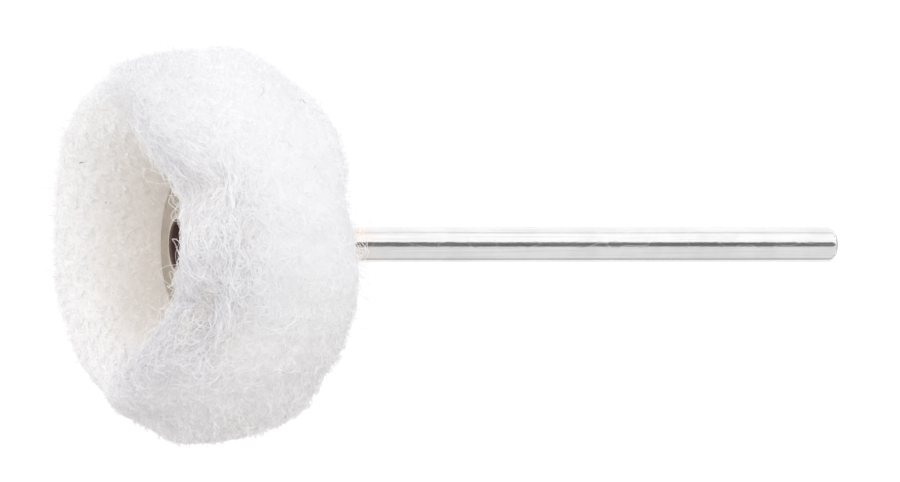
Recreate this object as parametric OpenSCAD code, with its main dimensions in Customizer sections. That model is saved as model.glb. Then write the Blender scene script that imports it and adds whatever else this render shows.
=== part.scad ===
// Felt polishing wheel on a straight steel shank, for a rotary hand tool.
// The spin axis is +Y, the shank points along +Y and the working front faces -Y.
// The origin is on the axis, at the rear face of the hollow rivet.
// Inside this file every piece is turned about Z first, and lay_along_y() lays it down.

/* [Shank] */
// Diameter of the shank, the standard 3/32 inch collet size
shank_d = 2.35; // [2.0:0.01:2.6]
// Free length of the shank behind the rivet, tail included
shank_free_len = 43.2; // [25:0.1:50]
// Radius of the rounding at the tail
tail_round = 0.5; // [0.2:0.05:0.9]
// Diameter of the buried end, turned down so that the resin grips it
spigot_d = 1.9; // [1.6:0.01:2.0]
// Depth of the grip grooves turned in the buried end
groove_depth = 0.12; // [0.05:0.01:0.2]
// Number of grip grooves
groove_count = 3; // [1:1:3]

/* [Hollow rivet] */
// Bore of the rivet, wider than the shank to leave room for resin
rivet_bore_d = 3.2; // [3.1:0.05:3.4]
// Wall thickness of the rivet's barrel
rivet_wall = 0.25; // [0.2:0.01:0.3]
// Outer diameter of the rear flange
rivet_flange_d = 5.4; // [4.4:0.1:6]
// Thickness of the rear flange
rivet_flange_t = 0.35; // [0.25:0.01:0.5]
// Outer diameter of the rolled front lip
rivet_lip_d = 4.5; // [4.3:0.05:5]
// Height of the rolled lip over the front washer
rivet_lip_h = 0.35; // [0.25:0.01:0.45]
// Depth of the open mouth, from the lip's crest to the resin
mouth_depth = 1.3; // [0.8:0.05:1.8]

/* [Washers] */
// Outer diameter of both washers
washer_d = 9; // [7:0.1:11]
// Thickness of each washer
washer_t = 0.4; // [0.3:0.01:0.6]
// Rounding of the washers' stamped edge
washer_round = 0.12; // [0.05:0.01:0.14]

/* [Felt] */
// Diameter of the felt at its rim
felt_d = 26.4; // [24:0.1:30]
// Diameter of the ridge where each recess ends
felt_lip_d = 22; // [19:0.1:23]
// Overall thickness of the felt between its two lips
felt_lip_t = 13.4; // [10:0.1:16]
// Thickness of the whole stack where the washers pinch it
felt_core_t = 2.6; // [2:0.1:4]
// Straight flange of felt around the washer, before the layers fan out
felt_root = 0.15; // [0.1:0.01:0.3]

/* [Hidden] */
$fn = 96;

layer_count = 6;       // one node each, numbered from the front
fan_steps = 14;        // straight steps along the curve where the layers fan out
rim_steps = 4;         // straight steps along each layer's share of the rim
corner_steps = 6;      // straight steps round a small rounding

shank_r = shank_d / 2;
spigot_r = spigot_d / 2;
bore_r = rivet_bore_d / 2;
barrel_r = bore_r + rivet_wall;
washer_r = washer_d / 2;
felt_r = felt_d / 2;
felt_lip_r = felt_lip_d / 2;
felt_root_r = washer_r + felt_root;

// Places along the axis, counted from the rivet's rear face
rear_washer_back = -rivet_flange_t;
rear_washer_front = rear_washer_back - washer_t;
felt_middle = rear_washer_front - felt_core_t / 2;
front_washer_back = rear_washer_front - felt_core_t;
front_washer_front = front_washer_back - washer_t;
rivet_crest = front_washer_front - rivet_lip_h;
resin_front = rivet_crest + mouth_depth;
resin_dish = 0.15;                         // the resin's surface sinks by this much at its middle
shank_front = resin_front + resin_dish + 0.2;
groove_w = 0.25;
groove_flank = 0.06;
groove_pitch = 0.5;
groove_first = shank_front + 0.35;
spigot_bevel = 0.1;

// Points of an arc, from angle a0 to a1 in degrees
function arc(cx, cy, r, a0, a1, steps) =
    [for (i = [0 : steps]) let (a = a0 + (a1 - a0) * i / steps) [cx + r * cos(a), cy + r * sin(a)]];

// Half thickness of the stack at radius r: flat under the washers, then fanning out to the lip
function fan_reach(r) = min(1, max(0, (r - felt_root_r) / (felt_lip_r - felt_root_r)));
function half_stack(r) = felt_core_t / 2 + (felt_lip_t - felt_core_t) / 2 * sin(90 * fan_reach(r));

// Radius of the rounded rim at a height h from the wheel's middle plane
function rim_radius(h) = felt_lip_r + (felt_r - felt_lip_r) * sqrt(max(0, 1 - pow(2 * h / felt_lip_t, 2)));

// Share of the stack's half thickness at which a seam between two layers lies, from -1 at the front to 1
function seam_share(i) = -1 + 2 * i / layer_count;

// One seam from the rivet's barrel out to the rim, as radius and height
function seam(i) = [
    [barrel_r, felt_middle + seam_share(i) * felt_core_t / 2],
    for (k = [0 : fan_steps])
        let (r = felt_root_r + (felt_lip_r - felt_root_r) * k / fan_steps)
        [r, felt_middle + seam_share(i) * half_stack(r)]
];

// The rim between two seams
function rim(i) = [
    for (k = [0 : rim_steps])
        let (h = felt_lip_t / 2 * (seam_share(i) + (seam_share(i + 1) - seam_share(i)) * k / rim_steps))
        if (rim_radius(h) > felt_lip_r + 0.01) [rim_radius(h), felt_middle + h]
];

function backwards(list) = [for (k = [len(list) - 1 : -1 : 0]) list[k]];

// Edges of one grip groove, as radius and height
function groove(k) = let (y = groove_first + k * groove_pitch) [
    [spigot_r, y], [spigot_r - groove_depth, y + groove_flank],
    [spigot_r - groove_depth, y + groove_w - groove_flank], [spigot_r, y + groove_w]
];

// The shank's outside where the resin grips it, from the buried end to the rivet's rear face
function gripped_side() = concat(
    [[spigot_r - spigot_bevel, shank_front], [spigot_r, shank_front + spigot_bevel]],
    [for (k = [0 : groove_count - 1]) each groove(k)],
    [[spigot_r, 0]]
);

module lay_along_y() {
    rotate([-90, 0, 0]) children();
}

// Steel rod with grip grooves at its buried end and a rounded tail
module shank() {
    color("silver") lay_along_y() rotate_extrude() polygon(concat(
        [[0, shank_front]],
        gripped_side(),
        [[shank_r, 0]],
        arc(shank_r - tail_round, shank_free_len - tail_round, tail_round, 0, 90, corner_steps),
        [[0, shank_free_len]]
    ));
}

// Thin-walled rivet: rear flange, barrel through the stack, lip rolled over the front washer
module hollow_rivet() {
    flange_r = rivet_flange_d / 2;
    edge = 0.12;
    lip_r = rivet_lip_d / 2;
    crest_r = bore_r + 0.17;
    color("lightgray") lay_along_y() rotate_extrude() polygon(concat(
        [[bore_r, 0]],
        arc(flange_r - edge, -edge, edge, 90, 0, corner_steps),
        [[flange_r, rear_washer_back], [barrel_r, rear_washer_back]],
        [[barrel_r, front_washer_front], [lip_r, front_washer_front]],
        [for (i = [0 : corner_steps]) let (a = 90 * i / corner_steps)
            [crest_r + (lip_r - crest_r) * cos(a), front_washer_front - 0.05 - (rivet_lip_h - 0.05) * sin(a)]],
        [for (i = [1 : corner_steps]) let (a = 90 * i / corner_steps)
            [crest_r - (crest_r - bore_r) * sin(a), rivet_crest + 0.2 * (1 - cos(a))]]
    ));
}

// Stamped disc with softly rounded edges, its front face at height y
module washer(y) {
    lay_along_y() rotate_extrude() polygon(concat(
        [[barrel_r, y + washer_t], [barrel_r, y]],
        arc(washer_r - washer_round, y + washer_round, washer_round, -90, 0, corner_steps),
        arc(washer_r - washer_round, y + washer_t - washer_round, washer_round, 0, 90, corner_steps)
    ));
}

module front_washer() {
    color("tan") washer(front_washer_front);
}

module rear_washer() {
    color("tan") washer(rear_washer_front);
}

// Dark resin that fills the rivet round the shank and covers the shank's end
module bonding_resin() {
    color("saddlebrown") lay_along_y() rotate_extrude() polygon(concat(
        [for (k = [0 : corner_steps]) let (t = k / corner_steps)
            [bore_r * t, resin_front + resin_dish * (1 - t * t)]],
        [[bore_r, 0]],
        backwards(gripped_side()),
        [[0, shank_front]]
    ));
}

// One disc of fleece: flat and thin at the hub, thick and fanned out at the rim
module felt_layer(i) {
    color("white") lay_along_y() rotate_extrude() polygon(concat(
        seam(i - 1), rim(i - 1), backwards(seam(i))
    ));
}

shank();
hollow_rivet();
front_washer();
rear_washer();
bonding_resin();
for (i = [1 : layer_count]) felt_layer(i);
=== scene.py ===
"""Looks of the felt polishing wheel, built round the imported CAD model.

The row frame has the spin axis along Y, the shank towards +Y and the wheel's front towards -Y.
Lengths in this script are millimetres until a mesh is made, where they become metres.
"""

import math
from itertools import product

import bpy
import numpy as np
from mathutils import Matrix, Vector


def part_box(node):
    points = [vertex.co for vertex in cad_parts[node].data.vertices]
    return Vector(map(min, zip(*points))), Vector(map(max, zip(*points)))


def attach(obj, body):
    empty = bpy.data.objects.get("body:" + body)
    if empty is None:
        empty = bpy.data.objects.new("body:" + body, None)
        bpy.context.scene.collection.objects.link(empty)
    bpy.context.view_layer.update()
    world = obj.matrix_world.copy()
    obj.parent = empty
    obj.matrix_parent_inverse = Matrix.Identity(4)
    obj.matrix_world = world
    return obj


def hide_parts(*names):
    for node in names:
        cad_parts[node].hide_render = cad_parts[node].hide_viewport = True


MM = 0.001
SEED = 4107

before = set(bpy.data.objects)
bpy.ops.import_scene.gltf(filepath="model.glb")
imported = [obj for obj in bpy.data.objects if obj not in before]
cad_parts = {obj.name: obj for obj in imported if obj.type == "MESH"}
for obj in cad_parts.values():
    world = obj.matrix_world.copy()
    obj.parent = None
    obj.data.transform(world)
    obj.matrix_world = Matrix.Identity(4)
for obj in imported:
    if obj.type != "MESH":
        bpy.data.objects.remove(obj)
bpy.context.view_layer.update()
scene = bpy.context.scene


# ------------------------ sizes read from the frame


def span(node, axis):
    """Lowest and highest place of a CAD node along an axis, in millimetres."""
    low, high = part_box(node)
    return low[axis] / MM, high[axis] / MM


def turned_section(node):
    """Distance from the spin axis, and place along it, of each of a CAD node's vertices, in millimetres."""
    co = np.array([v.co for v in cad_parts[node].data.vertices]) / MM
    return np.hypot(co[:, 0], co[:, 2]), co[:, 1]


LAYERS = sorted(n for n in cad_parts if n.startswith("felt_layer_"))
front_radii, front_y = turned_section(LAYERS[0])
FRONT_Y = span(LAYERS[0], 1)[0]
BACK_Y = span(LAYERS[-1], 1)[1]
MID_Y = (FRONT_Y + BACK_Y) / 2
LIP_H = (BACK_Y - FRONT_Y) / 2
RIM_R = max(span(n, 0)[1] for n in LAYERS)
LIP_R = float(front_radii[np.argmin(front_y)])
BARREL_R = float(front_radii.min())
CORE_H = (span("rear_washer", 1)[0] - span("front_washer", 1)[1]) / 2
WASHER_R = span("front_washer", 0)[1]
ROOT_R = WASHER_R + 0.15  # where the felt comes out between the washers


# ------------------------ smooth noise


NOISE_GAIN = 1.6
NOISE_START = 64.0


def smoothstep(empty, full, value):
    """A soft step from 0 at empty to 1 at full, whichever of them is larger."""
    t = np.clip((value - empty) / (full - empty), 0, 1)
    return t * t * (3 - 2 * t)


def noise(points, wavelength, seed):
    """Smooth gradient noise in space, about -1 to 1, one number a point."""
    rng = np.random.default_rng(seed)
    table = rng.permutation(256)
    slopes = rng.normal(size=(256, 3))
    slopes /= np.linalg.norm(slopes, axis=1, keepdims=True)
    q = points / wavelength + NOISE_START
    cell = np.floor(q).astype(int)
    local = q - cell
    fade = local * local * local * (local * (local * 6 - 15) + 10)
    total = np.zeros(len(points))
    for corner in product((0, 1), repeat=3):
        c = (cell + corner) & 255
        pick = table[(table[(table[c[:, 0]] + c[:, 1]) & 255] + c[:, 2]) & 255]
        weight = np.prod(np.where(corner, fade, 1 - fade), axis=1)
        total += weight * np.einsum("ij,ij->i", slopes[pick], local - corner)
    return total * NOISE_GAIN


def noise_vector(points, wavelength, seed):
    """Three separate noises as one vector a point."""
    return np.stack([noise(points, wavelength, seed + k) for k in range(3)], axis=1)


# ------------------------ the felt's shape


def dish_height(r):
    """Half thickness of the stack at radius r, from the washer's edge to the lip."""
    reach = np.clip((r - ROOT_R) / (LIP_R - ROOT_R), 0, 1)
    return CORE_H + (LIP_H - CORE_H) * np.sin(math.pi / 2 * reach)


DISH_STEPS = 500
RIM_STEPS = 800


def outline():
    """The felt's outer skin from the front washer's edge, over the rim, to the rear washer's edge.

    It comes as the distance along the skin, the radius, and the height over the wheel's middle plane.
    """
    r_dish = np.linspace(ROOT_R, LIP_R, DISH_STEPS)
    beta = np.linspace(-math.pi / 2, math.pi / 2, RIM_STEPS)[1:-1]
    r = np.concatenate([r_dish, LIP_R + (RIM_R - LIP_R) * np.cos(beta), r_dish[::-1]])
    h = np.concatenate([-dish_height(r_dish), LIP_H * np.sin(beta), dish_height(r_dish[::-1])])
    steps = np.hypot(np.diff(r), np.diff(h))
    return np.concatenate([[0], np.cumsum(steps)]), r, h


def outward(s, r, h):
    """Direction out of the skin at each point of its outline, as its radial and axial parts."""
    slope_r, slope_h = np.gradient(r, s), np.gradient(h, s)
    slope = np.hypot(slope_r, slope_h)
    return slope_h / slope, -slope_r / slope


SKIN_S, SKIN_RAD, SKIN_H = outline()
SKIN_NR, SKIN_NH = outward(SKIN_S, SKIN_RAD, SKIN_H)
SKIN_END = SKIN_S[-1]
FRONT_LIP_S = float(SKIN_S[np.argmin(SKIN_H)])
BACK_LIP_S = float(SKIN_S[np.argmax(SKIN_H)])
SEAM_SHARES = np.linspace(-1, 1, len(LAYERS) + 1)  # the seams' heights, as shares of the lip's


def seam_s(share):
    """Place along the skin where a seam between two layers comes out at the rim."""
    rim = (SKIN_S > FRONT_LIP_S) & (SKIN_S < BACK_LIP_S)
    return float(np.interp(share * LIP_H, SKIN_H[rim], SKIN_S[rim]))


# Distance of each lip from the wheel's middle plane and radius of the rim, at angles round the wheel in
# degrees, 0 towards +X and 90 up. The front lip is pushed in on the +X side, where the wheel has been used.
FRONT_LIP = [
    (-165, 6.85), (-146, 6.35), (-128, 5.9), (-112, 5.6), (-96, 6.1), (-80, 7.1), (-62, 7.15), (-46, 6.25),
    (-33, 4.9), (-22, 4.1), (-14, 4.5), (0, 4.8), (12, 4.5), (21, 3.7), (32, 5.0), (42, 6.35), (60, 6.9),
    (85, 6.85), (104, 6.4), (121, 6.95), (132, 7.15), (155, 6.95), (180, 6.95),
]
BACK_LIP = [
    (-150, 6.6), (-70, 6.05), (-48, 6.15), (-25, 6.8), (0, 6.75), (18, 6.2), (38, 6.4), (62, 5.75),
    (90, 5.65), (130, 6.7), (180, 6.8),
]
FRONT_RIM = [(-150, 13.1), (-116, 12.6), (-88, 12.45), (-40, 13.1), (20, 13.2), (85, 13.15), (150, 13.2)]
MIDDLE_RIM = [(-150, 13.2), (-90, 13.2), (-40, 13.15), (20, 13.2), (85, 13.28), (150, 13.2)]
BACK_RIM = [
    (-150, 13.1), (-85, 12.98), (-52, 12.9), (-20, 13.15), (40, 12.95), (60, 12.55), (84, 12.2), (150, 13.2),
]


# The worked side, where the fleece has been pulled about: its middle, its half width and the reach of its
# soft edge to each side, in radians round the wheel.
WORKED_ANGLE = -0.1
WORKED_SPREAD = 0.44
WORKED_EDGE = 0.2


def around(angle, table):
    """Value at an angle round the wheel, on a smooth closed curve through a table's entries."""
    turn, count = 2 * math.pi, len(table)
    stops = [math.radians(table[k % count][0]) + turn * (k // count) for k in range(-1, count + 2)]
    values = [table[k % count][1] for k in range(-1, count + 2)]
    at = (angle - stops[1]) % turn + stops[1]
    total = np.zeros_like(angle)
    for k in range(1, count + 1):
        gap = stops[k + 1] - stops[k]
        rise_here = (values[k + 1] - values[k - 1]) / (stops[k + 1] - stops[k - 1]) * gap
        rise_next = (values[k + 2] - values[k]) / (stops[k + 2] - stops[k]) * gap
        t = (at - stops[k]) / gap
        curve = (
            (2 * t**3 - 3 * t**2 + 1) * values[k] + (t**3 - 2 * t**2 + t) * rise_here
            + (3 * t**2 - 2 * t**3) * values[k + 1] + (t**3 - t**2) * rise_next
        )
        total = np.where((t >= 0) & (t < 1), curve, total)
    return total


def facing(angle):
    """1 in the middle of the worked side of the wheel, 0 away from it."""
    away = np.abs((angle - WORKED_ANGLE + math.pi) % (2 * math.pi) - math.pi)
    return smoothstep(WORKED_SPREAD + WORKED_EDGE, WORKED_SPREAD - WORKED_EDGE, away)


def warp(points):
    """Turns the regular wheel into a used one: uneven lips and rim, soft lumps and clumped fleece."""
    angle = np.arctan2(points[:, 2], points[:, 0])
    r = np.hypot(points[:, 0], points[:, 2])
    h = points[:, 1] - MID_Y
    lift = smoothstep(CORE_H + 0.3, LIP_H, np.abs(h)) * smoothstep(ROOT_R + 0.5, LIP_R, r)
    push = np.where(h < 0, LIP_H - around(angle, FRONT_LIP), around(angle, BACK_LIP) - LIP_H)
    h = h + push * lift
    front, rear = smoothstep(-1.0, -5.0, h), smoothstep(1.0, 5.0, h)
    rim_r = around(angle, FRONT_RIM) * front + around(angle, BACK_RIM) * rear
    rim_r += around(angle, MIDDLE_RIM) * (1 - front - rear)
    r_new = r + (rim_r - RIM_R) * smoothstep(7, 13, r)
    moved = np.stack([r_new * np.cos(angle), h + MID_Y, r_new * np.sin(angle)], axis=1)
    free = smoothstep(WASHER_R + 0.1, WASHER_R + 2.6, r)[:, None]
    worked = facing(angle) * smoothstep(9, 12, r) * smoothstep(3.0, -3.0, h)
    calm = 1 - 0.55 * smoothstep(12.0, 9.5, r)[:, None]
    rough = (1 + 1.3 * worked)[:, None] * calm
    for wavelength, size, seed in ((7.0, 0.34, 11), (2.6, 0.14 * calm, 23), (1.1, 0.095 * rough, 37)):
        moved += noise_vector(points, wavelength, SEED + seed) * size * free
    return moved


def skin_frame(angle, s, height=0.0):
    """Points at a height over the regular skin, and the skin's outward direction there."""
    s = np.clip(s, 0, SKIN_END)
    nr, nh = np.interp(s, SKIN_S, SKIN_NR), np.interp(s, SKIN_S, SKIN_NH)
    r = np.interp(s, SKIN_S, SKIN_RAD) + nr * height
    y = np.interp(s, SKIN_S, SKIN_H) + nh * height + MID_Y
    c, d = np.cos(angle), np.sin(angle)
    return np.stack([r * c, y, r * d], axis=-1), np.stack([nr * c, nh, nr * d], axis=-1)


# ------------------------ meshes from arrays


NO_TRIS = np.zeros((0, 3), int)
NO_QUADS = np.zeros((0, 4), int)


def make_mesh(name, vertices_mm, quads, tris, slots, quad_slot=None, tri_slot=None, smooth=True):
    """A mesh object from arrays, in metres, with one material slot per entry of slots."""
    me = bpy.data.meshes.new(name)
    me.vertices.add(len(vertices_mm))
    me.vertices.foreach_set("co", (vertices_mm * MM).astype(np.float32).ravel())
    corners = np.concatenate([quads.ravel(), tris.ravel()]).astype(np.int32)
    sizes = np.concatenate([np.full(len(quads), 4), np.full(len(tris), 3)]).astype(np.int32)
    starts = np.concatenate([[0], np.cumsum(sizes)[:-1]]).astype(np.int32)
    me.loops.add(len(corners))
    me.loops.foreach_set("vertex_index", corners)
    me.polygons.add(len(sizes))
    me.polygons.foreach_set("loop_start", starts)
    if quad_slot is not None:
        me.polygons.foreach_set("material_index", np.concatenate([quad_slot, tri_slot]).astype(np.int32))
    me.polygons.foreach_set("use_smooth", np.full(len(sizes), smooth))
    me.update(calc_edges=True)
    me.validate()
    for material in slots:
        me.materials.append(material)
    piece = bpy.data.objects.new(name, me)
    scene.collection.objects.link(piece)
    return piece


def ring_grid(rows, columns):
    """Quads of a grid that closes on itself both ways, as a ring does."""
    i, j = np.meshgrid(np.arange(rows), np.arange(columns), indexing="ij")
    i, j = i.ravel(), j.ravel()
    up, on = (i + 1) % rows, (j + 1) % columns
    return np.stack([i * columns + j, i * columns + on, up * columns + on, up * columns + j], axis=1)


FIBRE_SIDES = 3
FIBRE_TIP = 0.45  # thickness of a fibre's ends, as a share of its middle's


def tubes(paths, radii, up):
    """Thin closed tubes along paths, shaped (tube, point, 3), as vertices, quads and triangles."""
    count, points = paths.shape[:2]
    sides = FIBRE_SIDES
    tangent = np.gradient(paths, axis=1)
    tangent /= np.linalg.norm(tangent, axis=2, keepdims=True) + 1e-12
    side = np.cross(tangent[:, 0], up)
    side /= np.linalg.norm(side, axis=1, keepdims=True) + 1e-9
    taper = np.interp(np.arange(points), [0, 1, points - 2, points - 1], [FIBRE_TIP, 1, 1, FIBRE_TIP])
    rings = np.zeros((count, points, sides, 3))
    for k in range(points):
        side = side - tangent[:, k] * np.einsum("ij,ij->i", side, tangent[:, k])[:, None]
        side /= np.linalg.norm(side, axis=1, keepdims=True) + 1e-9
        rise = np.cross(side, tangent[:, k])
        for a in range(sides):
            turn = 2 * math.pi * a / sides
            offset = side * math.cos(turn) + rise * math.sin(turn)
            rings[:, k, a] = paths[:, k] + offset * (radii * taper[k])[:, None]
    first = (np.arange(count) * points * sides)[:, None, None]
    k, a = np.meshgrid(np.arange(points - 1), np.arange(sides), indexing="ij")
    k, a = k.ravel(), a.ravel()
    b = (a + 1) % sides
    quad = np.stack([k * sides + a, k * sides + b, (k + 1) * sides + b, (k + 1) * sides + a], axis=1)
    fan = np.array([[0, j + 1, j] for j in range(1, sides - 1)])
    caps = np.concatenate([fan, (points - 1) * sides + fan[:, ::-1]])
    return rings.reshape(-1, 3), (first + quad[None]).reshape(-1, 4), (first + caps[None]).reshape(-1, 3)


def fibre_mesh(name, batches, slots):
    """One piece from batches of fibres: their paths, radii, starting directions and material slots."""
    vertices, quads, tris, quad_slots, tri_slots, start = [], [], [], [], [], 0
    for paths, radii, up, slot_of in batches:
        spots, sides, caps = tubes(paths, radii, up)
        vertices.append(spots)
        quads.append(sides + start)
        tris.append(caps + start)
        quad_slots.append(np.repeat(slot_of, len(sides) // len(paths)))
        tri_slots.append(np.repeat(slot_of, len(caps) // len(paths)))
        start += len(spots)
    return make_mesh(
        name, np.concatenate(vertices), np.concatenate(quads), np.concatenate(tris), slots,
        np.concatenate(quad_slots), np.concatenate(tri_slots), smooth=False,
    )


# ------------------------ where the fleece changes


# Soft steps, in millimetres, that mark off two places on the wheel: SIDE towards +X, AXIAL from the middle
# plane towards the back, UP towards +Z and OUT from the spin axis. The shoulder is the front edge of the +X
# side, where the fleece is painted darker as shade. Its lower part reaches further and gets darker painted
# shade.
# The far lip is the front lip on the -X side, where the fleece is painted lighter as painted light.
SHOULDER_AXIAL = (-0.6, -6.0)
SHOULDER_SIDE = (-4.0, 3.0)
SHOULDER_OUT = (7.4, 9.2)
SHOULDER_LOW_UP = (1.0, -3.0)
SHOULDER_LOWEST_UP = (-11.0, -7.0)
LOW_REACH_SIDE = 2.0
LOW_REACH_OUT = 1.5
FAR_LIP_SIDE = (-3.0, -8.0)
FAR_LIP_AXIAL = (-1.0, -4.0)


def shoulder_painted_shade(angle, s):
    """1 on the front shoulder of the +X side, where the coat gets painted shade, 0 elsewhere."""
    spots, _ = skin_frame(angle, s)
    low = smoothstep(*SHOULDER_LOW_UP, spots[:, 2]) * smoothstep(*SHOULDER_LOWEST_UP, spots[:, 2])
    front = smoothstep(*SHOULDER_AXIAL, spots[:, 1] - MID_Y)
    near = smoothstep(*SHOULDER_SIDE, spots[:, 0] + LOW_REACH_SIDE * low)
    outer = smoothstep(*SHOULDER_OUT, np.hypot(spots[:, 0], spots[:, 2]) + LOW_REACH_OUT * low)
    return front * near * outer * (0.5 + 0.5 * low)


def near_side(angle, s):
    """1 in the worked, wispy middle of the wheel's +X side, 0 elsewhere."""
    from_lip = s - FRONT_LIP_S
    middle = facing(angle) * smoothstep(-4.0, -1.5, from_lip) * (1 - smoothstep(3.8, 9.2, from_lip))
    spots, _ = skin_frame(angle, s)
    return smoothstep(0.1, 0.9, middle + 0.3 * noise(spots, 2.2, SEED + 79) * (middle > 0))


def before_mouth(angle, s):
    """1 where the front lip stands on the +X side of the rivet's mouth, 0 elsewhere."""
    return smoothstep(0.34, 0.2, np.abs(angle)) * smoothstep(2.4, 0.6, s - FRONT_LIP_S)


def under_side(angle):
    """1 on the wheel's under side, 0 on the rest of it."""
    return smoothstep(-0.1, -0.7, np.sin(angle))


def tufts(angle, s):
    """Height of the nap's small clumps at places on the skin, from 0 between them to 1 on them."""
    spots, _ = skin_frame(angle, s)
    return smoothstep(-0.45, 0.65, noise(spots, 0.6, SEED + 61) + 0.5 * noise(spots, 0.3, SEED + 67))


def pulled_clumps(angle, s):
    """1 where the worked fleece still holds together, 0 in the open gaps between its clumps."""
    spots, _ = skin_frame(angle, s)
    return smoothstep(-0.1, 0.4, noise(spots, 1.2, SEED + 71) + 0.7 * noise(spots, 0.6, SEED + 73))


# ------------------------ materials


WHITE_LIGHT = (1, 1, 1, 1)


class Nodes:
    """Short calls for building the node tree of a new material or world."""

    def __init__(self, name, kind="materials"):
        self.owner = getattr(bpy.data, kind).new(name)
        self.owner.use_nodes = True
        self.tree = self.owner.node_tree
        self.shader = self.tree.nodes.get("Principled BSDF")

    def add(self, kind, **settings):
        node = self.tree.nodes.new("ShaderNode" + kind)
        for key, value in settings.items():
            setattr(node, key, value)
        return node

    def link(self, source, target):
        self.tree.links.new(source, target)

    def put(self, node, **values):
        """Sets a node's inputs by name, or by number as i0, i1, from plain values or nodes' outputs."""
        for key, value in values.items():
            numbered = key[0] == "i" and key[1:].isdigit()
            socket = node.inputs[int(key[1:]) if numbered else key.replace("_", " ")]
            if isinstance(value, bpy.types.NodeSocket):
                self.link(value, socket)
            else:
                socket.default_value = value
        return node

    def maths(self, operation, a, b=0.0, c=0.0):
        node = self.add("Math", operation=operation)
        return self.put(node, i0=a, i1=b, i2=c).outputs[0]

    def times(self, *values):
        """Product of two or more values."""
        total = values[0]
        for value in values[1:]:
            total = self.maths("MULTIPLY", total, value)
        return total

    def place(self, scale=(1, 1, 1)):
        """The row frame's position in millimetres, times scale along each axis."""
        where = self.add("TexCoord").outputs["Object"]
        mapping = self.add("Mapping")
        return self.put(mapping, Vector=where, Scale=[x / MM for x in scale]).outputs[0]

    def noise(self, vector, scale, detail=2.0, rough=0.5, distortion=0.0):
        node = self.add("TexNoise")
        self.put(node, Vector=vector, Scale=scale, Detail=detail, Roughness=rough, Distortion=distortion)
        return node.outputs["Fac"]

    def between(self, value, low, high, to_low=0.0, to_high=1.0, smooth=True):
        node = self.add("MapRange", interpolation_type="SMOOTHSTEP" if smooth else "LINEAR")
        return self.put(node, i0=value, i1=low, i2=high, i3=to_low, i4=to_high).outputs[0]

    def fade(self, value, empty, full):
        """A soft step from 0 at empty to 1 at full, whichever of them is larger."""
        if empty < full:
            return self.between(value, empty, full)
        return self.between(value, full, empty, 1.0, 0.0)

    def mix(self, share, a, b):
        node = self.add("Mix", data_type="RGBA")
        return self.put(node, i0=share, i6=a, i7=b).outputs[2]

    def axis_distance(self):
        """Distance from the spin axis, and the three coordinates, in millimetres."""
        split = self.add("SeparateXYZ")
        self.link(self.place(), split.inputs[0])
        squares = [self.maths("MULTIPLY", split.outputs[k], split.outputs[k]) for k in (0, 2)]
        return self.maths("SQRT", self.maths("ADD", squares[0], squares[1])), split.outputs

    def threads(self, vector, scale, width, distortion=1.2):
        """Thin curling lines, as of fibres, from the places where a noise crosses its middle value."""
        wave = self.noise(vector, scale, 1.0, 0.5, distortion)
        away = self.maths("ABSOLUTE", self.maths("SUBTRACT", wave, 0.5))
        return self.between(away, 0.0, width, 1.0, 0.0)

    def bump(self, height, distance_mm, strength, over=None):
        node = self.add("Bump")
        self.put(node, Height=height, Distance=distance_mm * MM, Strength=strength)
        if over is not None:
            self.link(over, node.inputs["Normal"])
        return node.outputs[0]


def felt_colour(n, clumps, grain, strings):
    """The fleece's colour: cream, darkened towards the hub as painted shade in the recess, and white on the
    rim; painted lighter on the far lip as painted light, and painted shade on the shoulder and on the worked
    side.
    """
    radius, (across, along, up) = n.axis_distance()
    axial = n.maths("SUBTRACT", along, MID_Y)
    # Cream of the dish, darker and warmer towards the hub: painted shade of the deep recess by the washer.
    cream = n.mix(n.between(radius, 4.6, 9.0), (0.765, 0.705, 0.64, 1), (0.955, 0.935, 0.91, 1))
    cool = n.mix(clumps, (0.94, 0.936, 0.936, 1), (0.972, 0.973, 0.978, 1))
    base = n.mix(n.between(radius, 8.8, 11.6), cream, cool)

    # The shoulder's darker colour is painted shade, stronger on its lower part.
    low = n.times(n.fade(up, *SHOULDER_LOW_UP), n.fade(up, *SHOULDER_LOWEST_UP))
    near = n.fade(n.maths("MULTIPLY_ADD", low, LOW_REACH_SIDE, across), *SHOULDER_SIDE)
    outer = n.fade(n.maths("MULTIPLY_ADD", low, LOW_REACH_OUT, radius), *SHOULDER_OUT)
    strength = n.maths("MULTIPLY_ADD", low, 0.5, 0.5)
    shoulder = n.times(n.fade(axial, *SHOULDER_AXIAL), near, outer, strength)
    base = n.mix(shoulder, base, (0.85, 0.843, 0.85, 1))

    # The far lip is painted lighter: painted light from behind the wheel.
    far_lip_painted_light = n.times(n.fade(axial, *FAR_LIP_AXIAL), n.fade(across, *FAR_LIP_SIDE))
    base = n.mix(n.times(far_lip_painted_light, n.between(radius, 7.0, 10.0)), base, (0.982, 0.974, 0.962, 1))

    # Darker, warmer ground on the worked side: painted shade of the voids between the pulled clumps.
    level = n.fade(n.maths("ABSOLUTE", n.maths("ADD", up, 1.2)), 7.0, 3.6)
    worked = n.times(level, n.between(across, 6.0, 9.0), n.fade(axial, 0.0, -4.4), 0.9)
    ground_with_painted_shade = n.mix(worked, base, (0.74, 0.695, 0.64, 1))

    shade = n.mix(n.between(grain, 0.3, 0.75), (0.985, 0.983, 0.98, 1), (1, 1, 1, 1))
    tinted = n.add("Mix", data_type="RGBA", blend_type="MULTIPLY")
    n.put(tinted, i0=1.0, i6=ground_with_painted_shade, i7=shade)
    return n.mix(n.maths("MULTIPLY", strings, 0.35), tinted.outputs[2], (0.985, 0.98, 0.975, 1))


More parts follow.
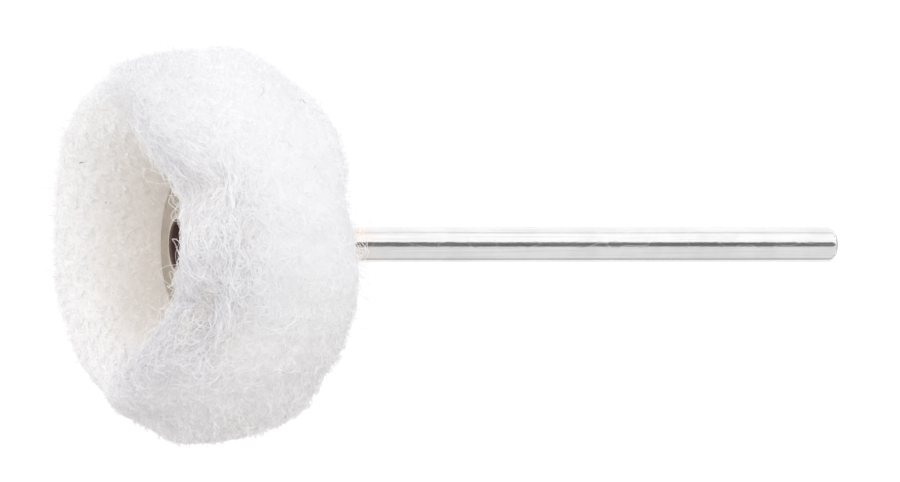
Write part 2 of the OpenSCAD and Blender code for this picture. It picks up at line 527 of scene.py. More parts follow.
def felt_material():
    """White needled fleece: finely grained, with thin strings of fibre in its skin."""
    n = Nodes("felt")
    p = n.shader
    here = n.place()
    clumps = n.noise(here, 0.9, 4.0, 0.6)
    grain = n.noise(here, 4.5, 3.0, 0.65)
    strings = n.maths("MAXIMUM", n.threads(here, 1.6, 0.035), n.threads(here, 3.1, 0.05, 2.0))
    n.link(felt_colour(n, clumps, grain, strings), p.inputs["Base Color"])
    n.link(n.between(clumps, 0.2, 0.8, 0.82, 0.96), p.inputs["Roughness"])
    soft = n.bump(clumps, 0.25, 0.5)
    grained = n.bump(grain, 0.12, 0.55, soft)
    n.link(n.bump(strings, 0.05, 0.5, grained), p.inputs["Normal"])
    n.put(p, Sheen_Weight=0.25, Sheen_Roughness=0.5, Specular_IOR_Level=0.25)
    return n.owner


def fibre_material(name, colour, roughness, glow=0.0):
    """One tint of single fibres, which are too thin to show a pattern of their own.

    The glow stands for the light that comes through a thin hair from behind.
    """
    n = Nodes(name)
    n.put(n.shader, Base_Color=(*colour, 1), Roughness=roughness, Specular_IOR_Level=0.35)
    if glow:
        n.put(n.shader, Emission_Color=WHITE_LIGHT, Emission_Strength=glow)
        n.owner.cycles.emission_sampling = "NONE"
    return n.owner


# Name, colour, roughness and, for the finest hairs, glow. The names after the list are its places.
FIBRE_TINTS = [
    ("fibre_white", (0.974, 0.976, 0.985), 0.55),
    ("fibre_bright", (0.992, 0.992, 0.992), 0.45),
    ("fibre_cream", (0.985, 0.97, 0.95), 0.6),
    ("fibre_shaded", (0.965, 0.96, 0.957), 0.65),
    # The next two tints are darker stand-ins for shade: painted shade in the voids of the worked side, and
    # painted shade on the front shoulder.
    ("fibre_void_shade", (0.875, 0.848, 0.815), 0.7),
    ("fibre_painted_shade", (0.872, 0.866, 0.876), 0.6),
    ("fibre_halo", (0.975, 0.972, 0.972), 0.6, 0.07),
]
WHITE, BRIGHT, CREAM, SHADED, VOID_SHADE, PAINTED_SHADE, HALO = range(len(FIBRE_TINTS))


def lint_material():
    """Dark grey-brown lint."""
    n = Nodes("lint")
    tone = n.noise(n.place(), 2.0)
    n.link(n.mix(tone, (0.10, 0.09, 0.085, 1), (0.30, 0.27, 0.25, 1)), n.shader.inputs["Base Color"])
    n.put(n.shader, Roughness=0.7)
    return n.owner


def metal(name, colours, roughness, streak_scale, streak_depth):
    """Bright or satin metal with fine working marks, slight colour drift and a few scratches."""
    n = Nodes(name)
    p = n.shader
    marks = n.noise(n.place(streak_scale), 1.0, 3.0, 0.6)
    cloud = n.noise(n.place(), 0.35, 3.0, 0.55)
    scratch = n.threads(n.place((0.8, 0.25, 0.8)), 1.0, 0.012, 0.4)
    n.link(n.mix(n.between(n.maths("ADD", marks, cloud), 0.8, 1.2), *colours), p.inputs["Base Color"])
    rough = n.between(marks, 0.25, 0.75, roughness[0], roughness[1], smooth=False)
    n.link(n.maths("ADD", rough, n.maths("MULTIPLY", scratch, 0.12)), p.inputs["Roughness"])
    lines = n.bump(marks, streak_depth, 0.35)
    n.link(n.bump(scratch, streak_depth * 1.5, 0.25, lines), p.inputs["Normal"])
    n.put(p, Metallic=1.0)
    return n


def shank_material():
    """Drawn bright steel, finely pitted, with a brownish tint near the wheel, a painted reflection of the
    felt, that fades out behind the wheel.
    """
    colours = [(0.69, 0.69, 0.70, 1), (0.76, 0.76, 0.765, 1)]
    n = metal("shank_steel", colours, (0.06, 0.16), (9, 0.12, 9), 0.002)
    p = n.shader
    _, (_, along, _) = n.axis_distance()
    blotch = n.noise(n.place(), 1.2, 3.0, 0.6)
    reach = n.maths("ADD", along, n.maths("MULTIPLY", blotch, 2.0))
    # Warm brown tint by the wheel: painted reflection of the felt, broken up by a noise.
    painted_felt_reflection = n.between(reach, BACK_Y + 3.5, BACK_Y + 7.0, 0.9, 0.0)
    plain_steel = p.inputs["Base Color"].links[0].from_socket
    n.link(n.mix(painted_felt_reflection, plain_steel, (0.78, 0.66, 0.57, 1)), p.inputs["Base Color"])
    pits = n.noise(n.place((6, 2.2, 6)), 1.0, 4.0, 0.7)
    n.link(n.bump(pits, 0.006, 0.5, p.inputs["Normal"].links[0].from_socket), p.inputs["Normal"])
    return n.owner


def washer_material():
    """Dull beige-grey pressed metal."""
    colours = [(0.50, 0.445, 0.378, 1), (0.60, 0.54, 0.468, 1)]
    return metal("washer_metal", colours, (0.26, 0.4), (2.5, 2.5, 2.5), 0.004).owner


def rivet_material():
    """Plated outside and on the rolled lip; down the mouth tarnished brown, and darker still as painted
    shade of the deep hole.
    """
    colours = [(0.80, 0.78, 0.75, 1), (0.88, 0.865, 0.84, 1)]
    n = metal("rivet_metal", colours, (0.1, 0.22), (4, 4, 4), 0.003)
    p = n.shader
    radius, _ = n.axis_distance()
    # Down the mouth: tarnish, with its very dark brown also painted shade of the deep hole.
    tarnish_and_mouth_shade = n.between(radius, 1.70, 1.76, 1.0, 0.0)
    blotch = n.noise(n.place(), 3.0, 3.0, 0.6)
    brown = n.mix(blotch, (0.075, 0.034, 0.026, 1), (0.20, 0.12, 0.095, 1))
    bright = p.inputs["Base Color"].links[0].from_socket
    n.link(n.mix(tarnish_and_mouth_shade, bright, brown), p.inputs["Base Color"])
    n.link(n.between(tarnish_and_mouth_shade, 0.0, 1.0, 1.0, 0.25, smooth=False), p.inputs["Metallic"])
    polish = p.inputs["Roughness"].links[0].from_socket
    n.link(n.maths("ADD", polish, n.maths("MULTIPLY", tarnish_and_mouth_shade, 0.3)), p.inputs["Roughness"])
    return n.owner


def resin_material():
    """Dark brown, half glossy resin with a slightly uneven face."""
    n = Nodes("resin")
    here = n.place()
    cloud = n.noise(here, 2.2, 4.0, 0.6)
    n.link(n.mix(cloud, (0.05, 0.024, 0.018, 1), (0.14, 0.075, 0.055, 1)), n.shader.inputs["Base Color"])
    n.link(n.between(cloud, 0.3, 0.7, 0.22, 0.45), n.shader.inputs["Roughness"])
    n.link(n.bump(n.noise(here, 5.0, 3.0), 0.03, 0.4), n.shader.inputs["Normal"])
    return n.owner


# ------------------------ felt layers


ROUND_STEPS = 512
SKIN_PITCH = 0.16
SKIN_ROWS_LEAST = 14
ROOT_ROWS = 4
SEAM_ROWS = 10
SEAM_GAP = 0.004  # half the gap between two layers at the rim
SEAM_DEPTH = 0.22  # how far under the skin a layer's seam face ends
FINE_LUMPS = [(0.5, 0.07, 51), (0.27, 0.055, 57)]  # wavelength, size and seed


def seam_face(share, gap):
    """Radius and height of a layer's face between the barrel and the skin, from inside to outside."""
    reach = np.linspace(BARREL_R, ROOT_R, ROOT_ROWS)
    if abs(share) < 1:
        end = np.interp(seam_s(share), SKIN_S, SKIN_RAD) - SEAM_DEPTH
        reach = np.concatenate([reach, np.linspace(ROOT_R, end, SEAM_ROWS + 1)[1:]])
    else:
        reach = reach[:-1]
    return reach, share * dish_height(reach) + gap * smoothstep(WASHER_R, RIM_R, reach)


def layer_section(index):
    """Closed outline of one layer: radius, height, and 1 where it lies in the open or else 0."""
    is_first, is_last = index == 0, index == len(LAYERS) - 1
    low, high = SEAM_SHARES[index], SEAM_SHARES[index + 1]
    s0 = 0.0 if is_first else seam_s(low)
    s1 = SKIN_END if is_last else seam_s(high)
    s = np.linspace(s0, s1, max(SKIN_ROWS_LEAST, int((s1 - s0) / SKIN_PITCH)))
    out_r, out_h = seam_face(low, 0 if is_first else SEAM_GAP)
    back_r, back_h = seam_face(high, 0 if is_last else -SEAM_GAP)
    radius = np.concatenate([out_r, np.interp(s, SKIN_S, SKIN_RAD), back_r[::-1]])
    height = np.concatenate([out_h, np.interp(s, SKIN_S, SKIN_H), back_h[::-1]])
    shown = np.concatenate([np.zeros(len(out_r)), np.ones(len(s)), np.zeros(len(back_r))])
    return radius, height, shown


def crease_rings(piece, rows):
    """Keeps the open skin's shading apart from the seam faces', so no line shows where layers meet."""
    edges = np.zeros(len(piece.data.edges) * 2, np.int32)
    piece.data.edges.foreach_get("vertices", edges)
    row_of = edges.reshape(-1, 2) // ROUND_STEPS
    sharp = (row_of[:, 0] == row_of[:, 1]) & np.isin(row_of[:, 0], rows)
    piece.data.attributes.new("sharp_edge", "BOOLEAN", "EDGE").data.foreach_set("value", sharp)


def felt_body(index, material):
    """One fleece disc as a closed ring, lumpy and grained where it lies open."""
    radius, height, shown = layer_section(index)
    angle = np.linspace(0, 2 * math.pi, ROUND_STEPS, endpoint=False)
    r, a = np.meshgrid(radius, angle, indexing="ij")
    h = np.repeat(height[:, None], ROUND_STEPS, axis=1)
    regular = np.stack([r * np.cos(a), h + MID_Y, r * np.sin(a)], axis=-1).reshape(-1, 3)
    points = warp(regular)
    open_here = np.repeat(shown[:, None], ROUND_STEPS, axis=1)
    weight = (open_here * smoothstep(WASHER_R, WASHER_R + 1.2, r)).reshape(-1, 1)
    for wavelength, size, seed in FINE_LUMPS:
        points += noise_vector(regular, wavelength, SEED + seed) * size * weight
    name = f"{LAYERS[index]}_fleece"
    piece = make_mesh(name, points, ring_grid(len(radius), ROUND_STEPS), NO_TRIS, [material])
    crease_rings(piece, np.flatnonzero(shown)[[0, -1]])
    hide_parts(LAYERS[index])
    return piece


# ------------------------ fibres


DENSITY = 1.0
ROOT_DEPTH = 0.05  # how far under the skin a fibre starts
SKIN_MARGIN = 0.25  # how close to the skin's two ends a fibre may come


def scatter(rng, count, s0, s1):
    """Places on the skin between s0 and s1, even over its area: angle and distance along the skin."""
    s = rng.uniform(s0, s1, count * 3)
    keep = rng.uniform(0, RIM_R, len(s)) < np.interp(s, SKIN_S, SKIN_RAD)
    s = s[keep][:count]
    return rng.uniform(0, 2 * math.pi, len(s)), s


def skin_area(s0, s1):
    """Area of the skin between two places along it, in square millimetres."""
    s = np.linspace(s0, s1, 60)
    return float(np.mean(np.interp(s, SKIN_S, SKIN_RAD)) * 2 * math.pi * (s1 - s0))


def curl_paths(rng, angle, s, length, heading, bend, height, shape, points, kink=0.35):
    """Fibre paths that start on the skin, run over it with a curl, and rise by height times shape."""
    count = len(angle)
    t = np.linspace(0, 1, points)
    step = (length / (points - 1))[:, None]
    wobble = rng.normal(0, kink, (count, points)).cumsum(axis=1) * 0.6
    course = heading[:, None] + bend[:, None] * (t[None] - 0.3) + wobble
    start = np.zeros((count, 1))
    across = np.concatenate([start, (np.cos(course) * step)[:, 1:].cumsum(axis=1)], axis=1)
    along = np.concatenate([start, (np.sin(course) * step)[:, 1:].cumsum(axis=1)], axis=1)
    place = np.clip(s[:, None] + along, SKIN_MARGIN, SKIN_END - SKIN_MARGIN)
    turn = angle[:, None] + across / np.interp(place, SKIN_S, SKIN_RAD)
    rise = height[:, None] * shape(t)[None] - ROOT_DEPTH
    wave = rng.uniform(0.5, 2.0, count)[:, None] * t[None] + rng.random(count)[:, None]
    rise = rise + 0.2 * height[:, None] * np.sin(2 * math.pi * wave) * np.sin(math.pi * t)[None]
    spots, up = skin_frame(turn, place, rise)
    bent = warp(spots.reshape(-1, 3)).reshape(count, points, 3)
    return bent, up[:, 0]


# How a fibre rises along its length, as a share of its height.


def loop_shape(t):
    return np.sin(math.pi * t) ** 0.8


def arch_shape(t):
    return np.sin(math.pi * t) ** 0.6


def standing_shape(t):
    return np.sin(math.pi / 2 * t) ** 0.9


def lying_shape(t):
    return 0.35 + 0.65 * np.sin(math.pi * t)


def level_shape(t):
    return 0.9 + 0.1 * np.sin(math.pi * t)


# Share of the coat, shape, lengths, heights over the skin, spread of direction, points, and how many
# fibres of the kind stand in one bunch.
NAP_KINDS = [
    (0.14, loop_shape, (0.25, 0.65), (0.06, 0.22), 3.0, 6, 1),
    (0.48, standing_shape, (0.08, 0.26), (0.10, 0.30), 3.0, 3, 1),
    (0.36, standing_shape, (0.06, 0.24), (0.20, 0.78), 3.0, 3, 8),
    (0.02, lying_shape, (0.8, 1.8), (0.02, 0.10), 1.2, 8, 1),
]
BUNCH_SPREAD = 0.06


def nap_places(rng, count, s0, s1, bunch, thin_below):
    """Where one kind of nap fibre stands and how tall it is, from 0 to 1, bunch fibres to a place.

    The nap is thin in the gaps of the worked side, and on the under side where thin_below is set.
    """
    angle, s = scatter(rng, count, s0, s1)
    tall = rng.random(len(angle)) ** (2 if bunch > 1 else 1)
    angle, s, tall = (np.repeat(values, bunch) for values in (angle, s, tall))
    count = len(angle)
    if bunch > 1:
        angle = angle + rng.normal(0, BUNCH_SPREAD, count) / RIM_R
        s = s + rng.normal(0, BUNCH_SPREAD, count)
        tall = tall * rng.uniform(0.7, 1.0, count)
    kept = rng.random(count) < 1 - 0.92 * near_side(angle, s) * (1 - pulled_clumps(angle, s))
    if thin_below:
        kept &= rng.random(count) > under_side(angle)
    return angle[kept], s[kept], tall[kept]


def nap_height(angle, s, tall, heights, wild, rim_share):
    """Heights of nap fibres: lower in the recesses and where worked, taller on tufts and by the lips."""
    below = under_side(angle)
    near_lip = np.exp(-(((s - FRONT_LIP_S) / 3.6) ** 2)) + np.exp(-(((s - BACK_LIP_S) / 3.6) ** 2))
    fluff = np.exp(-(((s - FRONT_LIP_S + 0.5) / 1.8) ** 2)) * (1 - 1.7 * facing(angle))
    clumped = 0.4 + 0.25 * below + (1 - 0.75 * below) * tufts(angle, s)
    height = np.interp(tall, (0, 1), heights) * (1 - 0.66 * wild)
    height *= 0.35 + 0.65 * np.maximum(rim_share, near_lip)
    height *= clumped * (1 + 0.7 * np.maximum(fluff, -0.7))
    return height * (1 - 0.6 * before_mouth(angle, s))


def nap_tint(rng, angle, s, wild):
    """Tints of nap fibres: white, with more cream inwards; brighter and creamier on the far lip as painted
    light; darker on the front shoulder and on the worked side as painted shade.
    """
    count = len(angle)
    tint = rng.choice([WHITE, BRIGHT, SHADED], count, p=[0.45, 0.4, 0.15])
    spots, _ = skin_frame(angle, s)
    far_lip_painted_light = smoothstep(*FAR_LIP_SIDE, spots[:, 0]) * smoothstep(*FAR_LIP_AXIAL, spots[:, 1] - MID_Y)
    inner = smoothstep(10.5, 7.5, np.hypot(spots[:, 0], spots[:, 2]))
    cream = 0.1 + 0.35 * np.maximum(inner, far_lip_painted_light)
    # On the far lip, more cream and bright fibres: painted light.
    tint = np.where(rng.random(count) < cream, CREAM, np.where(far_lip_painted_light > rng.random(count), BRIGHT, tint))
    # On the front shoulder, the darker tint as painted shade.
    tint = np.where(rng.random(count) < shoulder_painted_shade(angle, s), PAINTED_SHADE, tint)
    # On the worked side, the darker tint as painted shade of its voids.
    return np.where(rng.random(count) < 0.8 * wild, VOID_SHADE, tint)


def nap(name, s0, s1, density, seed, slots, rim_share):
    """The coat of fibres over one stretch of skin: small loops, standing ends and lying strands."""
    rng = np.random.default_rng(SEED + seed)
    total = skin_area(s0, s1) * density * DENSITY
    batches = []
    for share, shape, lengths, heights, spread, points, bunch in NAP_KINDS:
        number = int(total * share / bunch)
        angle, s, tall = nap_places(rng, number, s0, s1, bunch, thin_below=shape is lying_shape)
        count = len(angle)
        wild = near_side(angle, s)
        length = rng.uniform(*lengths, count) * (1 + 1.4 * wild)
        height = nap_height(angle, s, tall, heights, wild, rim_share)
        heading = np.where(rng.random(count) < 0.5, 0, math.pi) + rng.normal(0, spread, count)
        heading += (1 - rim_share) * rng.uniform(-math.pi, math.pi, count)
        bend = rng.normal(0, 1.6, count) * (1 + wild)
        paths, up = curl_paths(rng, angle, s, length, heading, bend, height, shape, points)
        radii = rng.uniform(0.008, 0.014, count) * (1 + 0.5 * wild)
        batches.append((paths, radii, up, nap_tint(rng, angle, s, wild)))
    return fibre_mesh(name, batches, slots)


def loose_tint(rng, angle, s, painted_shade_share=0.8):
    """Tints of loose fibres: white or bright, a share of them given the darker tint as painted shade on the
    front shoulder.
    """
    tint = rng.choice([WHITE, BRIGHT, BRIGHT], len(angle))
    return np.where(rng.random(len(angle)) < painted_shade_share * shoulder_painted_shade(angle, s), PAINTED_SHADE, tint)


WISP_MIDDLE = 2.4  # outwards from the front lip along the skin
WISP_SPREAD = 3.2
WISP_REACH = 3.2  # how far inside the front lip they may start


def wisps(name, count, seed, slots):
    """Long loose curls over the middle of the near side, where the fleece has been pulled about."""
    rng = np.random.default_rng(SEED + seed)
    count = int(count * DENSITY)
    angle = WORKED_ANGLE + np.clip(rng.normal(0, 0.31, 3 * count), -0.6, 0.8)
    inmost = FRONT_LIP_S - WISP_REACH
    s = np.clip(FRONT_LIP_S + WISP_MIDDLE + rng.normal(0, WISP_SPREAD, 3 * count), inmost, BACK_LIP_S)
    held = rng.random(3 * count) < 0.15 + 0.85 * pulled_clumps(angle, s)
    held &= s > inmost
    angle, s = angle[held][:count], s[held][:count]
    count = len(angle)
    length = rng.uniform(1.4, 5.0, count)
    height = rng.uniform(0.15, 0.5, count) + 0.5 * (rng.random(count) < 0.3) * rng.random(count)
    height *= 1 - 0.75 * before_mouth(angle, s)
    spots, _ = skin_frame(angle, s)
    combed = 1.5 * math.pi * noise(spots, 3.0, SEED + 83) + rng.normal(0, 0.7, count)
    heading = np.where(rng.random(count) < 0.65, combed, rng.uniform(-math.pi, math.pi, count))
    bend = rng.normal(0, 1.5, count) * length
    # The darker tint's share rises by the front lip and before the rivet's mouth: painted shade.
    painted_shade_share = 0.12 + 0.4 * smoothstep(3.6, 0.8, s - FRONT_LIP_S) + 0.25 * before_mouth(angle, s)
    paths, up = curl_paths(rng, angle, s, length, heading, bend, height, lying_shape, 18, kink=0.35)
    radii = rng.uniform(0.010, 0.019, count)
    return fibre_mesh(name, [(paths, radii, up, loose_tint(rng, angle, s, painted_shade_share))], slots)


DENT_ANGLE = 0.03  # middle of the dent in the front lip


def fringe(name, count, seed, slots, mouth_share, middle_s, sunk, middle, spread, lengths, heights, radii):
    """Curls that stand off a lip around one angle and loop over the recess.

    In the lip's dent they sit lower down by sunk, and before the mouth a share of them is left out.
    """
    rng = np.random.default_rng(SEED + seed)
    angle = rng.normal(middle, spread, count)
    angle = angle[rng.random(count) > mouth_share * smoothstep(0.3, 0.18, np.abs(angle))]
    count = len(angle)
    in_dent = smoothstep(0.65, 0.3, np.abs(angle - DENT_ANGLE))
    s = middle_s - sunk * in_dent + rng.normal(0, 0.6, count)
    length = rng.uniform(*lengths, count)
    height = np.interp(rng.random(count) ** 2, (0, 1), heights) * (1 - 0.2 * in_dent)
    heading = rng.uniform(-math.pi, math.pi, count)
    bend = rng.uniform(1.5, 4.5, count) * rng.choice([-1, 1], count)
    paths, up = curl_paths(rng, angle, s, length, heading, bend, height, arch_shape, 20, kink=0.1)
    return fibre_mesh(name, [(paths, rng.uniform(*radii, count), up, loose_tint(rng, angle, s))], slots)


# Ranges of length, height and radius.
SHORT_CURLS = [(0.9, 2.4), (0.08, 0.4), (0.011, 0.018)]
STOUT_CURLS = [(1.6, 3.8), (0.25, 1.6), (0.016, 0.024)]
LONG_CURLS = [(1.6, 4.0), (0.12, 0.75), (0.012, 0.019)]
REAR_CURLS = [(1.4, 3.6), (0.3, 2.2), (0.012, 0.019)]

# Name, number of curls, seed, share left out before the mouth, place along the skin, how much lower they
# sit in the dent, middle and spread of the angle round the wheel, and the curls' ranges.
FRINGES = [
    ("front_lip_fringe", 280, 141, 0.9, FRONT_LIP_S - 0.5, 2.8, -0.1, 0.5, *SHORT_CURLS),
    ("front_lip_strands", 70, 149, 0.75, FRONT_LIP_S - 1.6, 2.0, 0.05, 0.5, *STOUT_CURLS),
    ("upper_lip_hairs", 260, 146, 0.9, FRONT_LIP_S - 1.0, 0.6, 0.66, 0.2, *LONG_CURLS),
    ("lower_lip_hairs", 260, 147, 0.9, FRONT_LIP_S - 1.0, 0.6, -0.85, 0.25, *LONG_CURLS),
    ("rear_lip_fringe", 46, 151, 0.0, BACK_LIP_S, 0.0, -0.06, 0.14, *REAR_CURLS),
]


CLUMP_FIBRES = 13
CLUMP_SPREAD = 0.17  # half width of a clump, as a share of its height


def lip_clumps(name, count, seed, slots, middle_s, sizes):
    """Loose clumps of fleece standing along a lip, away from the worked side."""
    rng = np.random.default_rng(SEED + seed)
    middle = rng.uniform(0, 2 * math.pi, int(count * DENSITY))
    middle = middle[rng.random(len(middle)) > facing(middle)]
    place = middle_s + rng.normal(0, 1.5, len(middle))
    size = rng.uniform(*sizes, len(middle))
    angle = np.repeat(middle, CLUMP_FIBRES)
    spread = np.repeat(size, CLUMP_FIBRES) * CLUMP_SPREAD
    count = len(angle)
    angle = angle + rng.normal(0, 1, count) * spread / LIP_R
    s = np.repeat(place, CLUMP_FIBRES) + rng.normal(0, 1, count) * spread
    height = np.repeat(size, CLUMP_FIBRES) * rng.uniform(0.5, 1.0, count)
    heading = rng.uniform(-math.pi, math.pi, count)
    length = height * rng.uniform(0.5, 1.6, count)
    bend = rng.normal(0, 3.5, count)
    paths, up = curl_paths(rng, angle, s, length, heading, bend, height, standing_shape, 5)
    radii = rng.uniform(0.013, 0.021, count)
    return fibre_mesh(name, [(paths, radii, up, loose_tint(rng, angle, s))], slots)


def halo(name, count, seed, slots):
    """Single fine hairs that stand out of the coat all over the rim and lips and soften its outline."""
    rng = np.random.default_rng(SEED + seed)
    angle, s = scatter(rng, int(count * DENSITY), FRONT_LIP_S - 3.0, BACK_LIP_S + 2.0)
    kept = before_mouth(angle, s) < 0.5
    angle, s = angle[kept], s[kept]
    count = len(angle)
    height = np.interp(rng.random(count) ** 1.5, (0, 1), (0.3, 0.95)) * (1 - 0.4 * facing(angle))
    length = height * rng.uniform(0.8, 2.2, count)
    heading = rng.uniform(-math.pi, math.pi, count)
    bend = rng.normal(0, 2.5, count)
    paths, up = curl_paths(rng, angle, s, length, heading, bend, height, standing_shape, 8, kink=0.2)
    # Halo hairs glow faintly, painted light coming through them from behind; on the front shoulder they take
    # the darker tint, painted shade.
    tint = np.where(rng.random(count) < shoulder_painted_shade(angle, s), PAINTED_SHADE, HALO)
    return fibre_mesh(name, [(paths, rng.uniform(0.006, 0.010, count), up, tint)], slots)


# Dark lint caught in the fleece: angle in degrees, radius in the recess or height on the rim from the middle
# plane, length, radius, and how far it rides over the skin.
LINT_IN_RECESS = [
    (139, 8.85, 0.42, 0.028, 0.42), (155, 7.3, 0.16, 0.02, 0.42), (-47, 10.9, 0.10, 0.028, 0.5),
    (168, 5.6, 1.8, 0.008, 0.42),
]
LINT_ON_RIM = [(47, 4.05, 0.6, 0.012, 0.42), (46, 0.5, 1.1, 0.008, 0.42), (23, 3.6, 0.5, 0.009, 0.42)]


def lint(name, slots):
    """The few dark specks and hairs of lint."""
    rng = np.random.default_rng(SEED + 171)
    front = SKIN_S < FRONT_LIP_S
    rim = (SKIN_S > FRONT_LIP_S) & (SKIN_S < BACK_LIP_S)
    places = [(a, np.interp(r, SKIN_RAD[front], SKIN_S[front]), *size) for a, r, *size in LINT_IN_RECESS]
    places += [(a, np.interp(h, SKIN_H[rim], SKIN_S[rim]), *size) for a, h, *size in LINT_ON_RIM]
    angle, s, length, radius, height = np.array(places).T
    count = len(places)
    heading = rng.uniform(0.3, 1.2, count)
    bend = rng.normal(0, 0.6, count)
    paths, up = curl_paths(rng, np.radians(angle), s, length, heading, bend, height, level_shape, 9)
    return fibre_mesh(name, [(paths, radius, up, np.zeros(count, int))], slots)


# ------------------------ build the pieces


# Fibres to the square millimetre of skin, and fibres, clumps or hairs in a piece.
FRONT_RECESS_DENSITY, RIM_DENSITY, REAR_RECESS_DENSITY = 28, 53, 24
WISPS, FRONT_CLUMPS, REAR_CLUMPS, HALO_HAIRS = 1500, 600, 540, 3400
WISP_PIECES, CLUMP_PIECES, HALO_PIECES = 2, 3, 2
HUB_MARGIN = 0.8  # bare skin left by the washers' edges
RIM_OVERLAP = 0.5  # how far the rim's coat reaches past the lips

felt = felt_material()
fibre_slots = [fibre_material(*tint) for tint in FIBRE_TINTS]
bodies = [felt_body(i, felt) for i in range(len(LAYERS))]

rim_edges = np.linspace(FRONT_LIP_S - RIM_OVERLAP, BACK_LIP_S + RIM_OVERLAP, len(LAYERS) + 1)
coats = [nap("nap_front_recess", HUB_MARGIN, rim_edges[0], FRONT_RECESS_DENSITY, 101, fibre_slots, 0.0)]
for i, (start, end) in enumerate(zip(rim_edges, rim_edges[1:])):
    coats.append(nap(f"nap_rim_{i + 1}", start, end, RIM_DENSITY, 111 + i, fibre_slots, 1.0))
rear_end = SKIN_END - HUB_MARGIN
coats.append(nap("nap_rear_recess", rim_edges[-1], rear_end, REAR_RECESS_DENSITY, 102, fibre_slots, 0.0))
for i in range(WISP_PIECES):
    coats.append(wisps(f"pulled_wisps_{i + 1}", WISPS, 131 + i, fibre_slots))
for i in range(CLUMP_PIECES):
    clumps = f"lip_clumps_{i + 1}"
    coats.append(lip_clumps(clumps, FRONT_CLUMPS, 161 + i, fibre_slots, FRONT_LIP_S - 1.4, (0.12, 0.38)))
coats.append(lip_clumps("rear_lip_clumps", REAR_CLUMPS, 165, fibre_slots, BACK_LIP_S - 0.9, (0.2, 0.55)))
for i in range(HALO_PIECES):
    coats.append(halo(f"halo_hairs_{i + 1}", HALO_HAIRS, 181 + i, fibre_slots))
for name, count, seed, *rest in FRINGES:
    coats.append(fringe(name, count, seed, fibre_slots, *rest))
coats.append(lint("lint_specks", [lint_material()]))
for piece in bodies + coats:
    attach(piece, "root")

washer_metal = washer_material()
for node, material in (
    ("shank", shank_material()),
    ("hollow_rivet", rivet_material()),
    ("front_washer", washer_metal),
    ("rear_washer", washer_metal),
    ("bonding_resin", resin_material()),
):
    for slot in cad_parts[node].material_slots:
        slot.material = material


# ------------------------ camera


# The camera is level with the shank and looks at the wheel from 70 degrees round to +X of its front.
CAMERA_AZIMUTH = math.radians(70)
CAMERA_DISTANCE = 1.0  # metres, where the field's width and the aim are millimetres
SENSOR_WIDTH = 36
FIELD_WIDTH = 60.4
SIDE_AIM = 16.38
UP_AIM = 0.25

back = Vector((math.sin(CAMERA_AZIMUTH), -math.cos(CAMERA_AZIMUTH), 0))
right = Vector((math.cos(CAMERA_AZIMUTH), math.sin(CAMERA_AZIMUTH), 0))
aim = Vector((0, MID_Y, UP_AIM)) * MM + right * SIDE_AIM * MM
camera_data = bpy.data.cameras.new("camera")
camera = bpy.data.objects.new("camera", camera_data)
camera_data.sensor_width = SENSOR_WIDTH
camera_data.lens = SENSOR_WIDTH * CAMERA_DISTANCE / (FIELD_WIDTH * MM)
camera_data.clip_start = 0.05
camera_data.clip_end = 20
camera.location = aim + back * CAMERA_DISTANCE
camera.rotation_mode = "QUATERNION"
camera.rotation_quaternion = (-back).to_track_quat("-Z", "Y")
scene.collection.objects.link(camera)
scene.camera = camera


# ------------------------ stage and light


def card_material(name, strength):
    """The even white glow of a card."""
    n = Nodes(name)
    n.tree.nodes.clear()
    light = n.put(n.add("Emission"), Color=WHITE_LIGHT, Strength=strength)
    n.put(n.add("OutputMaterial"), Surface=light.outputs[0])
    n.owner.cycles.emission_sampling = "NONE"
    return n.owner


TENT_RADIUS = 400
TENT_HALF = 1200
TENT_CARDS = [  # from angle, to angle (0 at the +X side, 90 overhead), brightness
    (-15, 17, 0.20), (17, 80, 1.275), (80, 94, 1.0), (94, 166, 1.225), (166, 194, 0.30),
    (194, 236, 1.15), (236, 258, 0.65), (258, 345, 0.95),
]
TENT_STEP = 4  # degrees


def light_tent():
    """A tent of pale cards round the shank's axis, darker at each side, that only reflections see."""
    points, quads, slots, which = [], [], [], []
    for k, (start, stop, value) in enumerate(TENT_CARDS):
        slots.append(card_material(f"tent_card_{k}", value))
        steps = max(2, int((stop - start) / TENT_STEP))
        for i in range(steps):
            corner = len(points)
            for share, y in ((i, -TENT_HALF), (i, TENT_HALF), (i + 1, TENT_HALF), (i + 1, -TENT_HALF)):
                a = math.radians(start + (stop - start) * share / steps)
                points.append((TENT_RADIUS * math.cos(a), y, TENT_RADIUS * math.sin(a)))
            quads.append([corner, corner + 1, corner + 2, corner + 3])
            which.append(k)
    quad_slots, tri_slots = np.array(which), np.zeros(0, int)
    tent = make_mesh("light_tent", np.array(points), np.array(quads), NO_TRIS, slots, quad_slots, tri_slots)
    tent.visible_camera = tent.visible_diffuse = tent.visible_transmission = tent.visible_shadow = False
    return tent


TABLE_RADIUS = 600
TABLE_STEPS = 96
TABLE_GAP = 0.75  # from the CAD felt down to the table top


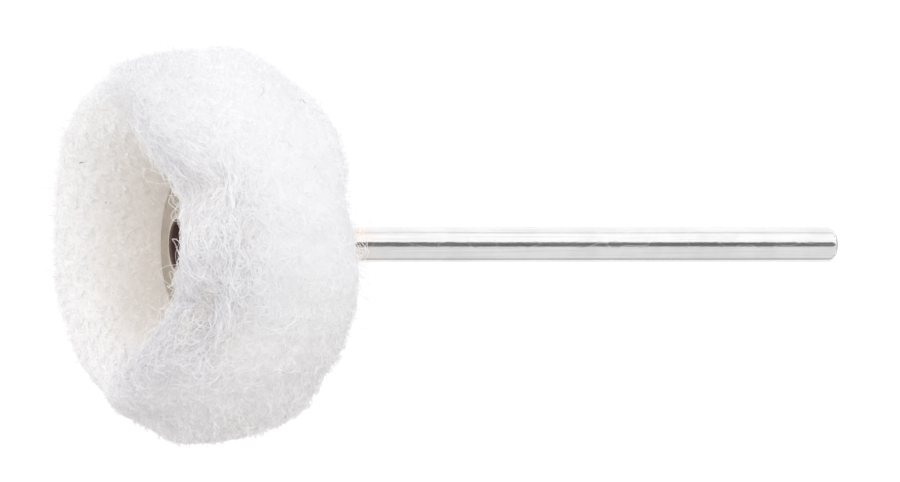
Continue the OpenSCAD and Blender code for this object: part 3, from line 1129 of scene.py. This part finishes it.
def floor_disc():
    """A pale round table top under the wheel."""
    z = span(LAYERS[2], 2)[0] - TABLE_GAP
    turns = [2 * math.pi * i / TABLE_STEPS for i in range(TABLE_STEPS)]
    points = [(0, 0, z)] + [(TABLE_RADIUS * math.cos(a), TABLE_RADIUS * math.sin(a), z) for a in turns]
    tris = np.array([[0, i + 1, (i + 1) % TABLE_STEPS + 1] for i in range(TABLE_STEPS)])
    n = Nodes("table_top")
    n.put(n.shader, Base_Color=(0.9, 0.9, 0.9, 1), Roughness=0.7, Specular_IOR_Level=0.0)
    n.put(n.shader, Emission_Color=WHITE_LIGHT, Emission_Strength=0.5)
    n.owner.cycles.emission_sampling = "NONE"
    disc = make_mesh("table_top", np.array(points), NO_QUADS, tris, [n.owner])
    disc.visible_diffuse = disc.visible_glossy = disc.visible_shadow = False
    return disc


# Colours of the studio's light, its brightness away from the key and towards it, the key's direction, and
# the brightness of the plain backdrop.
GLOW_BELOW = (0.325, 0.302, 0.29, 1)
GLOW_LEVEL = (0.935, 0.935, 0.948, 1)
GLOW_ABOVE = (0.74, 0.745, 0.775, 1)
BACK_GLOW, KEY_GLOW = 0.955, 1.475
KEY_SIDE = (0.75, -0.66, 0.0)
BACKDROP_GLOW = 1.05


def studio_world():
    """A soft white studio, darker below and brighter on the key side, against a plain white background."""
    n = Nodes("studio", "worlds")
    n.tree.nodes.clear()
    scene.world = n.owner
    where = n.add("TexCoord").outputs["Generated"]
    split = n.put(n.add("SeparateXYZ"), i0=where)
    ramp = n.add("ValToRGB")
    stops = ramp.color_ramp.elements
    stops[0].position, stops[0].color = 0.0, GLOW_BELOW
    stops[1].position, stops[1].color = 1.0, GLOW_ABOVE
    stops.new(0.5).color = GLOW_LEVEL
    n.put(ramp, i0=n.between(split.outputs[2], -1.0, 1.0, smooth=False))
    key = n.put(n.add("VectorMath", operation="DOT_PRODUCT"), i0=where, i1=KEY_SIDE)
    strength = n.between(key.outputs["Value"], -1.0, 1.0, BACK_GLOW, KEY_GLOW, smooth=False)
    lighting = n.put(n.add("Background"), Color=ramp.outputs[0], Strength=strength)
    backdrop = n.put(n.add("Background"), Color=WHITE_LIGHT, Strength=BACKDROP_GLOW)
    by_camera = n.add("LightPath").outputs["Is Camera Ray"]
    choose = n.put(n.add("MixShader"), i0=by_camera, i1=lighting.outputs[0], i2=backdrop.outputs[0])
    n.put(n.add("OutputWorld"), Surface=choose.outputs[0])


studio_world()
light_tent()
floor_disc()
scene.view_settings.view_transform = "Standard"
scene.view_settings.look = "None"
scene.cycles.max_bounces = 20
scene.cycles.diffuse_bounces = 16
scene.cycles.glossy_bounces = 6
